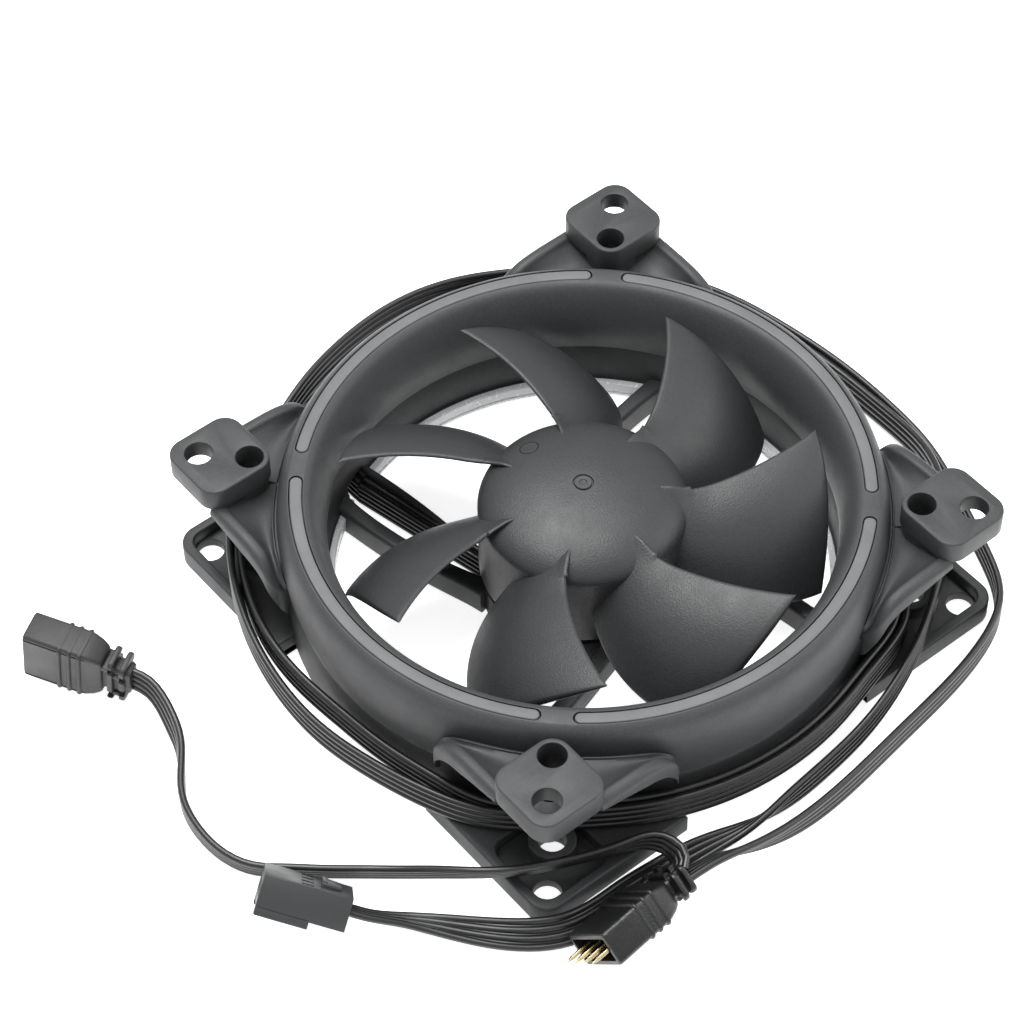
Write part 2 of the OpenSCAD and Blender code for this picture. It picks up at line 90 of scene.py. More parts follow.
def arc(centre, r, a0, a1, n):
    return [tuple(np.array(centre) + polar(r, mix(a0, a1, i / n))) for i in range(n + 1)]


def joined(*parts):
    points, faces = [], []
    for part_points, part_faces in parts:
        faces += [tuple(i + len(points) for i in face) for face in part_faces]
        points += [tuple(p) for p in part_points]
    return points, faces


def placed(part, matrix):
    return [tuple(matrix @ Vector(p)) for p in part[0]], part[1]


def turned(part, degrees):
    return placed(part, Matrix.Rotation(math.radians(degrees), 4, "Z"))


def four_corners(part):
    return joined(*[turned(part, 90 * k) for k in range(4)])


def loft(rings, closed=False, capped=True):
    """Skin over rings of points that all have the same count."""
    n, m = len(rings), len(rings[0])
    points = [tuple(p) for ring in rings for p in ring]
    faces = [(i * m + j, i * m + (j + 1) % m, (i + 1) % n * m + (j + 1) % m, (i + 1) % n * m + j)
             for i in range(n if closed else n - 1) for j in range(m)]
    if capped and not closed:
        faces += [tuple(range(m)), tuple(range((n - 1) * m, n * m))]
    return points, faces


def lathe(profile, first=0, last=360, steps=216):
    """A closed (radius, height) outline turned about Z, all the way or between two angles."""
    whole = last - first >= 360
    n = max(3, round(steps * (last - first) / 360))
    rings = []
    for i in range(n if whole else n + 1):
        a = math.radians(mix(first, last, i / n))
        rings.append([(r * math.cos(a), r * math.sin(a), z) for r, z in profile])
    return loft(rings, closed=whole)


def offset_loop(loop, d):
    """A counter-clockwise plan loop moved outwards by d."""
    p = np.array(loop, float)
    before = p - np.roll(p, 1, axis=0)
    after = np.roll(p, -1, axis=0) - p
    before /= np.linalg.norm(before, axis=1)[:, None]
    after /= np.linalg.norm(after, axis=1)[:, None]
    n1 = np.stack([before[:, 1], -before[:, 0]], 1)
    n2 = np.stack([after[:, 1], -after[:, 0]], 1)
    return p + d * (n1 + n2) / (1 + (n1 * n2).sum(1))[:, None]


def circle(centre, r, n=48):
    return [tuple(np.array(centre) + polar(r, 360 * k / n)) for k in range(n)]


def rounded_rect(x0, y0, x1, y1, r, n=8):
    return (arc((x1 - r, y0 + r), r, -90, 0, n) + arc((x1 - r, y1 - r), r, 0, 90, n)
            + arc((x0 + r, y1 - r), r, 90, 180, n) + arc((x0 + r, y0 + r), r, 180, 270, n))


def plate(outline, z0, z1, edge, holes=(), lip=0.15, foot=None):
    """A flat plate with rounded rims, and with holes whose lips are rounded too."""
    foot = edge if foot is None else foot
    points, faces, caps = [], [], [[], []]
    for number, loop in enumerate([outline, *holes]):
        sign = 1 if number == 0 else -1
        top, low = (edge, foot) if number == 0 else (lip, lip)
        levels = [(-low * (1 - math.sin(a)), z0 + low * (1 - math.cos(a)))
                  for a in np.radians([0, 30, 60, 90])]
        levels += [(-top * (1 - math.sin(a)), z1 - top * (1 - math.cos(a)))
                   for a in np.radians([90, 60, 30, 0])]
        rings = [[(x, y, z) for x, y in offset_loop(loop, sign * d)] for d, z in levels]
        ring_points, ring_faces = loft(rings, capped=False)
        start = len(points)
        faces += [tuple(i + start for i in face) for face in ring_faces]
        points += ring_points
        m = len(loop)
        caps[0].append(list(range(start, start + m)))
        top_start = start + (len(levels) - 1) * m
        caps[1].append(list(range(top_start, top_start + m)))
    for loops in caps:
        flat = [i for loop in loops for i in loop]
        triangles = tessellate_polygon([[Vector(points[i]) for i in loop] for loop in loops])
        faces += [tuple(flat[i] for i in triangle) for triangle in triangles]
    return points, faces


def block(x0, x1, w0, w1, h0, h1, r=0.3, edge=0.2, n=4):
    """A bar along X with rounded edges, from width w0 and height h0 to width w1 and height h1."""
    rings = []
    for x, t, shrink in ((x0, 0, edge), (x0 + 0.3 * edge, 0.02, 0.3 * edge), (x0 + edge, 0.05, 0),
                         (x1 - edge, 0.95, 0), (x1 - 0.3 * edge, 0.98, 0.3 * edge), (x1, 1, edge)):
        w, h = mix(w0, w1, t) / 2 - shrink, mix(h0, h1, t) / 2 - shrink
        rings.append([(x, y, z) for y, z in rounded_rect(-w, -h, w, h, min(r, w, h) * 0.99, n)])
    return loft(rings)


def moved(part, x=0, y=0, z=0):
    return placed(part, Matrix.Translation((x, y, z)))


def raw_object(part, name="raw"):
    mesh = bpy.data.meshes.new(name)
    mesh.from_pydata([tuple(v * MM for v in p) for p in part[0]], [], part[1])
    bm = bmesh.new()
    bm.from_mesh(mesh)
    bmesh.ops.remove_doubles(bm, verts=bm.verts, dist=1e-7)
    bmesh.ops.dissolve_degenerate(bm, edges=bm.edges, dist=1e-8)
    bmesh.ops.recalc_face_normals(bm, faces=bm.faces)
    bm.to_mesh(mesh)
    bm.free()
    obj = bpy.data.objects.new(name, mesh)
    bpy.context.scene.collection.objects.link(obj)
    return obj


def carve_once(part, cutter):
    body, tool = raw_object(part), raw_object(cutter)
    cut = body.modifiers.new("cut", "BOOLEAN")
    cut.operation = "DIFFERENCE"
    cut.solver = "EXACT"
    cut.object = tool
    bpy.context.view_layer.update()
    shape = body.evaluated_get(bpy.context.evaluated_depsgraph_get()).to_mesh()
    points = [tuple(v.co / MM) for v in shape.vertices]
    faces = [tuple(p.vertices) for p in shape.polygons]
    for obj in (body, tool):
        mesh = obj.data
        bpy.data.objects.remove(obj)
        bpy.data.meshes.remove(mesh)
    return points, faces


def carved(part, *cutters):
    """The part with every cutter taken out of it, one after another."""
    for cutter in cutters:
        part = carve_once(part, cutter)
    return part


def new_piece(name, part, slot, nodes=(), body="root", sharp_deg=32):
    """A finished piece that rides on a body, stands for CAD nodes and has its slot's material."""
    obj = raw_object(part, name)
    obj.data.name = name
    obj.data.shade_smooth()
    obj.data.set_sharp_from_angle(angle=math.radians(sharp_deg))
    obj.data.materials.append(MATERIALS[slot])
    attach(obj, body)
    if nodes:
        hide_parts(*nodes)
    return obj


def spline(points, t_new, t_old=None):
    """Natural cubic spline through the rows of points, sampled at t_new."""
    pts = np.asarray(points, float)
    if t_old is None:
        t_old = np.arange(len(pts), dtype=float)
    n = len(pts)
    h = np.diff(t_old)
    a = np.zeros((n, n))
    rhs = np.zeros((n, pts.shape[1]))
    a[0, 0] = a[-1, -1] = 1
    for i in range(1, n - 1):
        a[i, i - 1:i + 2] = h[i - 1], 2 * (h[i - 1] + h[i]), h[i]
        rhs[i] = 6 * ((pts[i + 1] - pts[i]) / h[i] - (pts[i] - pts[i - 1]) / h[i - 1])
    m = np.linalg.solve(a, rhs)
    k = np.clip(np.searchsorted(t_old, t_new, side="right") - 1, 0, n - 2)
    u = (t_new - t_old[k])[:, None]
    hk = h[k][:, None]
    v = hk - u
    return (m[k] * v ** 3 + m[k + 1] * u ** 3) / (6 * hk) + (pts[k] / hk - m[k] * hk / 6) * v \
        + (pts[k + 1] / hk - m[k + 1] * hk / 6) * u


def smooth_outline(points, n):
    """An open (radius, height) curve through the points, with n samples."""
    pts = np.array(points, float)
    t = np.concatenate([[0], np.cumsum(np.linalg.norm(np.diff(pts, axis=0), axis=1))])
    return [tuple(p) for p in spline(pts, np.linspace(0, t[-1], n), t)]


# ---------------------------------------------------------------- materials
class Paint:
    """Builds one procedural material around a Principled shader, in object coordinates."""

    def __init__(self, name, rough, metallic=0.0, specular=0.5, coat=0.0, ior=1.5):
        self.material = bpy.data.materials.new(name)
        self.material.use_nodes = True
        self.tree = self.material.node_tree
        self.shader = self.tree.nodes["Principled BSDF"]
        self.shader.inputs["Metallic"].default_value = metallic
        self.shader.inputs["Roughness"].default_value = rough
        self.shader.inputs["Specular IOR Level"].default_value = specular
        self.shader.inputs["Coat Weight"].default_value = coat
        self.shader.inputs["IOR"].default_value = ior
        self.rough = rough
        self.place = self.tree.nodes.new("ShaderNodeTexCoord").outputs["Object"]
        self.height = None

    def link(self, a, b):
        self.tree.links.new(a, b)

    def noise(self, size_mm, detail=3.0, rough=0.55, stretch=(1, 1, 1)):
        place = self.place
        if stretch != (1, 1, 1):
            mapping = self.tree.nodes.new("ShaderNodeMapping")
            mapping.inputs["Scale"].default_value = stretch
            self.link(place, mapping.inputs["Vector"])
            place = mapping.outputs["Vector"]
        node = self.tree.nodes.new("ShaderNodeTexNoise")
        node.inputs["Scale"].default_value = 1000 / size_mm
        node.inputs["Detail"].default_value = detail
        node.inputs["Roughness"].default_value = rough
        self.link(place, node.inputs["Vector"])
        return node.outputs["Fac"]

    def grains(self, size_mm):
        node = self.tree.nodes.new("ShaderNodeTexVoronoi")
        node.inputs["Scale"].default_value = 1000 / size_mm
        self.link(self.place, node.inputs["Vector"])
        return node.outputs["Distance"]

    def ramp(self, value, stops):
        node = self.tree.nodes.new("ShaderNodeValToRGB")
        elements = node.color_ramp.elements
        while len(elements) < len(stops):
            elements.new(0.5)
        for element, (position, colour) in zip(elements, stops):
            element.position = position
            element.color = (*colour, 1)
        self.link(value, node.inputs["Fac"])
        return node.outputs["Color"]

    def span(self, value, low, high, out_low, out_high):
        node = self.tree.nodes.new("ShaderNodeMapRange")
        for name, number in (("From Min", low), ("From Max", high),
                             ("To Min", out_low), ("To Max", out_high)):
            node.inputs[name].default_value = number
        self.link(value, node.inputs["Value"])
        return node.outputs["Result"]

    def blend(self, factor, a, b):
        node = self.tree.nodes.new("ShaderNodeMix")
        node.data_type = "RGBA"
        for socket, value in ((node.inputs[0], factor), (node.inputs[6], a), (node.inputs[7], b)):
            if isinstance(value, tuple):
                socket.default_value = (*value, 1)
            else:
                self.link(value, socket)
        return node.outputs[2]

    def colour(self, socket):
        self.link(socket, self.shader.inputs["Base Color"])

    def roughness(self, socket):
        self.link(socket, self.shader.inputs["Roughness"])

    def bump(self, socket, height_mm, strength=1.0):
        node = self.tree.nodes.new("ShaderNodeBump")
        node.inputs["Strength"].default_value = strength
        node.inputs["Distance"].default_value = height_mm * MM
        self.link(socket, node.inputs["Height"])
        if self.height is not None:
            self.link(self.height, node.inputs["Normal"])
        self.height = node.outputs["Normal"]
        self.link(self.height, self.shader.inputs["Normal"])

    def wear_and_highlight_edges(self, base, edge_wear_and_highlight):
        """Base colour that turns paler along convex edges: partly rubbed wear, partly a painted
        highlight along the rims.
        """
        edge = self.tree.nodes.new("ShaderNodeNewGeometry").outputs["Pointiness"]
        return self.blend(self.span(edge, 0.52, 0.62, 0, 1), base, edge_wear_and_highlight)


def grey(level):
    return (level, level, level)


def tinted(level, tint):
    return tuple(level * t for t in tint)


COOL = (0.965, 1.0, 1.045)


def moulded_plastic(name, level, rough, grain_mm=0.28, depth_mm=0.02, specks=0.0, tint=COOL,
                    edge_wear_and_highlight=1.6, specular=0.5):
    """Fine-textured dark plastic with cloudy gloss, dust specks and paler edges, which are partly
    rubbed wear and partly a painted edge highlight.
    """
    paint = Paint(name, rough, specular=specular)
    clouds = paint.noise(14, detail=4)
    base = paint.ramp(clouds, [(0.3, tinted(level * 0.9, tint)), (0.7, tinted(level * 1.1, tint))])
    grain = paint.noise(grain_mm, detail=2, rough=0.7)
    fleck = paint.ramp(grain, [(0.35, grey(0)), (0.75, grey(1))])
    base = paint.blend(fleck, base, tinted(level * 1.35, tint))
    # paler convex edges: partly rubbed wear, partly a painted highlight along the rims
    base = paint.wear_and_highlight_edges(base, tinted(level * edge_wear_and_highlight, tint))
    if specks:
        dust = paint.grains(1.9)
        spot = paint.span(dust, 0.03, 0.055, specks, 0)
        base = paint.blend(spot, base, tinted(level * 3.2, tint))
    paint.colour(base)
    paint.roughness(paint.span(paint.noise(3.2, detail=5), 0.3, 0.7, rough - 0.05, rough + 0.06))
    paint.bump(grain, depth_mm, 0.6)
    return paint.material


def glossy_plastic(name, colour, rough):
    paint = Paint(name, rough)
    paint.colour(paint.ramp(paint.noise(4, detail=4), [
        (0.3, tuple(0.93 * c for c in colour)), (0.7, tuple(min(1, 1.05 * c) for c in colour))]))
    paint.roughness(paint.span(paint.noise(1.5), 0.3, 0.7, rough - 0.04, rough + 0.06))
    paint.bump(paint.noise(0.5), 0.006, 0.5)
    return paint.material


def brushed_metal(name, colour, rough, stretch=(1, 1, 8), tarnish=0.8):
    paint = Paint(name, rough, metallic=1.0)
    dull = tuple(tarnish * c for c in colour)
    paint.colour(paint.ramp(paint.noise(2.2, detail=5), [(0.35, dull), (0.62, colour)]))
    streaks = paint.noise(0.8, stretch=stretch)
    paint.roughness(paint.span(streaks, 0.3, 0.7, rough - 0.07, rough + 0.1))
    paint.bump(paint.noise(0.15, stretch=stretch), 0.004, 0.5)
    return paint.material


def laminated_steel():
    """Edge view of stacked sheets: fine lines across the axis."""
    paint = Paint("lamination", 0.42, metallic=1.0)
    lines = paint.noise(0.9, detail=2, stretch=(0.1, 0.1, 4))
    paint.colour(paint.ramp(lines, [(0.4, (0.2, 0.2, 0.21)), (0.6, (0.48, 0.48, 0.5))]))
    paint.roughness(paint.span(paint.noise(1.1), 0.3, 0.7, 0.34, 0.5))
    paint.bump(lines, 0.03)
    return paint.material


def wound_copper():
    paint = Paint("copper_wire", 0.28, metallic=1.0)
    turns = paint.tree.nodes.new("ShaderNodeTexWave")
    turns.wave_type = "BANDS"
    turns.bands_direction = "Z"
    turns.inputs["Scale"].default_value = 1000 / 0.7
    turns.inputs["Distortion"].default_value = 1.2
    paint.link(paint.place, turns.inputs["Vector"])
    paint.colour(paint.ramp(turns.outputs["Fac"], [
        (0.1, (0.25, 0.08, 0.03)), (0.6, (0.72, 0.3, 0.13))]))
    paint.roughness(paint.span(paint.noise(1), 0.3, 0.7, 0.22, 0.36))
    paint.bump(turns.outputs["Fac"], 0.08)
    return paint.material


def circuit_board(name, colour, trace):
    paint = Paint(name, 0.34, coat=0.2)
    tracks = paint.ramp(paint.grains(2.4), [(0.42, grey(0)), (0.47, grey(1))])
    paint.colour(paint.blend(tracks, colour, trace))
    paint.roughness(paint.span(paint.noise(2), 0.3, 0.7, 0.28, 0.42))
    paint.bump(tracks, 0.02)
    return paint.material


def diffuser_plastic():
    """Unlit milky strip that looks grey over the dark frame."""
    paint = Paint("diffuser", 0.5, specular=0.3)
    paint.shader.inputs["Subsurface Weight"].default_value = 0.12
    paint.shader.inputs["Subsurface Radius"].default_value = (0.0008, 0.0008, 0.0008)
    base = paint.ramp(paint.noise(7, detail=3), [
        (0.3, (0.108, 0.11, 0.112)), (0.7, (0.13, 0.132, 0.135))])
    paint.colour(base)
    paint.roughness(paint.span(paint.noise(1.4, detail=4), 0.3, 0.7, 0.44, 0.56))
    paint.bump(paint.noise(0.25), 0.008, 0.5)
    return paint.material


def clear_ring():
    """Frosted clear plastic of the inner light ring."""
    paint = Paint("clear_ring", 0.2, ior=1.49)
    paint.shader.inputs["Transmission Weight"].default_value = 0.35
    paint.colour(paint.ramp(paint.noise(5), [(0.3, (0.78, 0.8, 0.81)), (0.7, (0.9, 0.91, 0.92))]))
    paint.roughness(paint.span(paint.noise(0.9, detail=4), 0.3, 0.7, 0.14, 0.3))
    paint.bump(paint.noise(0.4), 0.01, 0.4)
    return paint.material


def label_paper():
    paint = Paint("label", 0.5)
    fibre = paint.noise(0.6, detail=5, rough=0.7)
    paint.colour(paint.ramp(fibre, [(0.3, (0.062, 0.064, 0.067)), (0.7, (0.08, 0.083, 0.087))]))
    paint.roughness(paint.span(paint.noise(2), 0.3, 0.7, 0.44, 0.56))
    paint.bump(fibre, 0.012, 0.5)
    return paint.material


def make_materials():
    return {
        "frame_plastic": moulded_plastic("frame_plastic", 0.029, 0.5, grain_mm=0.34,
                                         depth_mm=0.05, specks=0.6, specular=0.4),
        # the bezel takes a lighter copy of the frame plastic from the same moulding: its extra
        # lightness is painted light on the ring
        "bezel_plastic": moulded_plastic("bezel_plastic", 0.037, 0.5, grain_mm=0.34,
                                         depth_mm=0.045, specks=0.65, specular=0.36),
        "rotor_plastic": moulded_plastic("rotor_plastic", 0.025, 0.4, grain_mm=0.3,
                                         depth_mm=0.09, specks=0.5, edge_wear_and_highlight=1.8, specular=0.4),
        "diffuser": diffuser_plastic(),
        "clear_ring": clear_ring(),
        "white_board": circuit_board("white_board", (0.72, 0.73, 0.7), (0.6, 0.61, 0.58)),
        "led_body": glossy_plastic("led_body", (0.85, 0.8, 0.55), 0.25),
        "black_screw": brushed_metal("black_screw", (0.035, 0.035, 0.037), 0.35, (3, 3, 1)),
        "label": label_paper(),
        "green_board": circuit_board("green_board", (0.02, 0.13, 0.05), (0.035, 0.2, 0.08)),
        "chip": moulded_plastic("chip", 0.02, 0.5),
        "lamination": laminated_steel(),
        "bobbin": glossy_plastic("bobbin", (0.75, 0.72, 0.6), 0.4),
        "copper_wire": wound_copper(),
        "brass": brushed_metal("brass", (0.72, 0.5, 0.22), 0.3),
        "bronze": brushed_metal("bronze", (0.5, 0.33, 0.18), 0.45, (1, 1, 1), 0.7),
        "cable_jacket": moulded_plastic("cable_jacket", 0.008, 0.34, grain_mm=0.5, depth_mm=0.012,
                                        edge_wear_and_highlight=1.5, specular=0.55),
        "moulded_plug": moulded_plastic("moulded_plug", 0.006, 0.36, grain_mm=0.45, depth_mm=0.14,
                                        specks=0.4, edge_wear_and_highlight=1.9),
        "moulded_socket": moulded_plastic("moulded_socket", 0.016, 0.5, grain_mm=0.4,
                                          depth_mm=0.05, edge_wear_and_highlight=1.4, tint=(1, 1, 1)),
        "insert": moulded_plastic("insert", 0.012, 0.42),
        "gold_pin": brushed_metal("gold_pin", (0.86, 0.72, 0.45), 0.2, (8, 1, 1)),
        "plug_housing": moulded_plastic("plug_housing", 0.019, 0.5, edge_wear_and_highlight=1.7),
        "tinned": brushed_metal("tinned", (0.66, 0.67, 0.68), 0.3),
        "yoke_steel": brushed_metal("yoke_steel", (0.42, 0.43, 0.45), 0.35, (1, 1, 6)),
        "magnet": moulded_plastic("magnet", 0.03, 0.55, grain_mm=0.2, edge_wear_and_highlight=1.3),
        "shaft_steel": brushed_metal("shaft_steel", (0.7, 0.71, 0.73), 0.18, (1, 1, 10), 0.92),
    }


MATERIALS = make_materials()


# ------------------------------------------------------------------- cables
CABLE_W = 5.0
CABLE_T = 1.14
CONDUCTORS = 4
SCREW_R = 46.9
SCREW_A = 34.5


def on_ring(a, r, z):
    """A station of a cable that stands on edge, at angle a and radius r."""
    return (*polar(r, a), z, 90)


def boss_bulge(a):
    """How far a cable at angle a keeps off the nearest screw boss."""
    d = abs(((a - SCREW_A) % 90 + 135) % 90 - 45)
    return 2 * math.exp(-d * d / 90)


def first_turn(r):
    """Stations along the ring's wall, clockwise from the leads' exit."""
    return [on_ring(a, r + boss_bulge(a), 6.8) for a in np.linspace(79.5, -145.5, 21)]


def second_turn(*stations):
    """Stations 11 degrees apart, further round the ring, from (radius, height) pairs."""
    return [on_ring(203 - 11 * k, r, z) for k, (r, z) in enumerate(stations)]


# Each station is x, y, z and tilt: 90 stands the cable on edge, 0 lays it flat
FAN_ROUTE = (
    [(-16.6, 34.7, 2.9, 90), (-16.6, 38.4, 2.9, 90), (-14.6, 43.1, 2.9, 90),
     (-8.4, 47.6, 3.4, 90), (-1.5, 48.8, 5, 90)]
    + first_turn(48.45)
    + second_turn((50.4, 6.6), (50.3, 6.2), (50.9, 5.8), (51.6, 5.8), (52.5, 6.4), (53.5, 6.8),
                  (54.6, 6.8), (55.2, 6.8), (55.7, 5.4), (56.2, 3.4), (56.7, 2.8), (57.1, 3.4),
                  (57.5, 5.2), (57.7, 6.8), (57.8, 6.8), (57.8, 6.8), (57.7, 6), (57.6, 4.2))
    + [(57.5, 4, 3, 90), (57.6, -6, 3.2, 90), (56.2, -16.5, 4.6, 90), (51.5, -26, 6.6, 90),
       (45.4, -33.6, 6.8, 90), (38.4, -38.8, 6.8, 90), (31.4, -43.4, 6.8, 90), (24, -47.2, 6.4, 90),
       (14, -50, 4, 90), (4, -51.2, 2.8, 90), (-5, -51.8, 2.7, 80), (-13, -51.2, 2.4, 42),
       (-20, -49.4, 1.4, 14), (-25.6, -48.6, 0.8, 3), (-31, -48.2, 0.75, 0), (-37, -48.5, 1.2, -12),
       (-43.6, -47.8, 2, -30), (-49.8, -43.6, 2, -14), (-55.6, -37.2, 2, 16), (-60.6, -32, 2.7, 39),
       (-64.4, -29.1, 4.2, 45), (-66.6, -26.7, 5.2, 48)])
LIGHT_ROUTE = (
    [(-15.3, 35.3, 2.9, 90), (-15.2, 38.4, 2.9, 90), (-13.2, 42.9, 2.9, 90),
     (-7.6, 46.3, 3.4, 90), (-1, 47.4, 5, 90)]
    + first_turn(47.1)
    + second_turn((47.9, 6.9), (47.3, 7), (47.4, 7), (48.8, 7), (50.5, 7), (51.8, 6.9),
                  (52.9, 6.9), (53.6, 6.9), (54.2, 7.6), (55.1, 8.7), (56.7, 8.6), (58.2, 8.6),
                  (59.1, 8), (59.3, 7), (59.3, 6.8), (59.3, 6.8), (59.2, 5.8), (59.1, 4))
    + [(59, 4, 3, 90), (59.1, -6, 2.8, 90), (57.8, -17, 2.8, 90), (54, -28, 2.8, 90),
       (50.2, -37.4, 2.8, 90), (45.4, -45.4, 2.8, 90), (37, -50, 2.8, 90), (27, -52.4, 2.8, 90),
       (17, -53.9, 2.8, 90), (6.6, -55.4, 2.8, 90), (-4, -56.2, 2.9, 86), (-13.6, -55.5, 4.1, 68),
       (-20.6, -54, 5.1, 50), (-26.5, -53.6, 5.35, 45)])
LINK_ROUTE = [
    (-26.6, -52.55, 6.3, 130), (-25.2, -51.7, 6.45, 118), (-24.6, -49.8, 6.6, 100),
    (-25.2, -47.5, 6.65, 88), (-27, -45.8, 6.7, 79), (-29.8, -44.7, 6.8, 71), (-34.3, -43, 6.8, 66),
    (-38.5, -41.1, 6.7, 65), (-43.7, -38.4, 6.6, 65), (-48.4, -34.9, 6.4, 65), (-52, -30.6, 5, 67),
    (-55.8, -25.9, 3.2, 69), (-60.2, -21.7, 2.65, 70), (-64.6, -18, 2.7, 70), (-68, -14.9, 2.7, 70),
    (-71.7, -11.4, 2.7, 72), (-73.7, -7, 2.75, 76), (-74.1, -1.5, 2.75, 82), (-72.7, 4.6, 2.65, 88),
    (-69.5, 9.6, 2.65, 94), (-67.2, 13.2, 2.8, 98), (-65.9, 17.1, 3.2, 102), (-65.1, 20.9, 3.8, 99),
    (-65.2, 24.2, 4.4, 94), (-66.1, 26.4, 4.7, 91)]


def cable_outline(width, thickness):
    """Outline of touching round conductors: (width, thickness) points, in millimetres."""
    steps, overlap = 7, 14
    pitch = (width - thickness) / (CONDUCTORS - 1)
    r = thickness / 2
    valley = math.degrees(math.acos(min(1, pitch / 2 / r)))
    top = []
    for k in range(CONDUCTORS):
        centre = (k - (CONDUCTORS - 1) / 2) * pitch
        first = 180 - valley - overlap if k else 180
        last = valley + overlap if k < CONDUCTORS - 1 else 0
        for i in range(steps):
            a = math.radians(mix(first, last, i / (steps - 1)))
            top.append((centre + r * math.cos(a), r * math.sin(a)))
    return top + [(x, -y) for x, y in reversed(top[1:-1])]


def ribbon(route):
    """A flat cable swept along a smooth curve through its route, and the points it follows."""
    step = 1.4
    pts = np.array(route, float)
    gaps = np.linalg.norm(np.diff(pts[:, :3], axis=0), axis=1)
    t_old = np.concatenate([[0], np.cumsum(gaps)])
    fine = spline(pts, np.linspace(0, t_old[-1], int(t_old[-1] / step) + 1), t_old)
    centres = fine[:, :3]
    outline = cable_outline(CABLE_W - 0.06, CABLE_T)
    rings = []
    for c, t, tilt in zip(centres, np.gradient(centres, axis=0), np.radians(fine[:, 3])):
        t = t / np.linalg.norm(t)
        flat = np.array([-t[1], t[0], 0]) / math.hypot(t[0], t[1])
        up = np.cross(t, flat)
        wide = flat * math.cos(tilt) + up * math.sin(tilt)
        thin = np.cross(t, wide)
        rings.append([tuple(c + wide * w + thin * h) for w, h in outline])
    return loft(rings), centres


def add_cables():
    plug_b = ("fan_plug_housing", "fan_plug_terminals")
    plug_c = ("light_plug_body", "light_plug_insert", "light_plug_pins")
    plug_a = ("light_socket_body", "light_socket_insert", "light_socket_contacts")
    for name, node, route, length, ends in (
            ("fan_ribbon", "fan_cable", FAN_ROUTE, 0.598, plug_b),
            ("light_ribbon", "light_cable", LIGHT_ROUTE, 0.546, plug_c),
            ("link_ribbon", "link_cable", LINK_ROUTE, 0.107, plug_a)):
        part, path = ribbon(route)
        obj = new_piece(name, part, "cable_jacket", [node], sharp_deg=50)


# --------------------------------------------------------------- frame data
FRAME_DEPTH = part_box("front_frame")[1][2] / MM
PAD_OUT = 45.25
PAD_SIDE = 12.5
PAD_T = 4.0
OUTER_H = 82.5 / 2
INNER_H = 71.5 / 2
HOLE_R = 4.3 / 2
JOINT_OUT_Z = 10.3
JOINT_IN_Z = 11.0
WEB_TIP = 18.4
TIP_ROUND = 2.0
WEB_ROOT_R = 44.9
RING_R = 46.2
TRAY_RING_R = 44.9
TRAY_H = 4.0
TRAY_FLOOR = 1.7
TRAY_LEG = 28.0
SLOT_IN, SLOT_OUT, SLOT_HALF = 42.12, 44.28, 40.6


def mount_holes():
    return [circle((h, h), HOLE_R) for h in (OUTER_H, INNER_H)]


def strip_outline(r_in, r_out, half):
    """Plan of one arc of the lit strip, with round ends."""
    mid, end = (r_in + r_out) / 2, (r_out - r_in) / 2
    return (arc((0, 0), r_out, -half, half, 64)
            + arc(polar(mid, half), end, half, half + 180, 10)[1:-1]
            + arc((0, 0), r_in, half, -half, 64)
            + arc(polar(mid, -half), end, 180 - half, 360 - half, 10)[1:-1])


# -------------------------------------------------------------- front frame
def front_ring():
    outside = smooth_outline([(45.4, JOINT_OUT_Z), (45.9, 13), (46.35, 17), (46.3, 20), (45.95, 22),
                              (45.3, 23.3), (44.5, 23.93)], 22)
    inside = smooth_outline([(41.95, 23.97), (41.4, 23.75), (40.8, 23.1), (40.2, 22), (39.3, 19.5),
                             (38.85, 16.5), (39.1, 13.6), (39.8, JOINT_IN_Z)], 26)
    outline = outside + [(44.3, 24), (42.1, 24)] + inside + [
        (41.4, JOINT_IN_Z), (41.4, 22.4), (44.3, 22.4), (44.3, JOINT_OUT_Z)]
    slot = plate(strip_outline(SLOT_IN, SLOT_OUT, SLOT_HALF), 21, 26, 0)
    return carved(lathe(outline, steps=288), four_corners(slot))


def rim_height(s):
    """Height of the web's rolled rim at a distance s from the plane through the axis."""
    return 21.3 - 6.6 * math.exp(-(s - WEB_TIP) / 2.3)


def lip_height(s):
    """Height of the thin bead where the web meets the ring."""
    return 19.4 - 3.6 * math.exp(-(s - WEB_TIP) / 1.5)


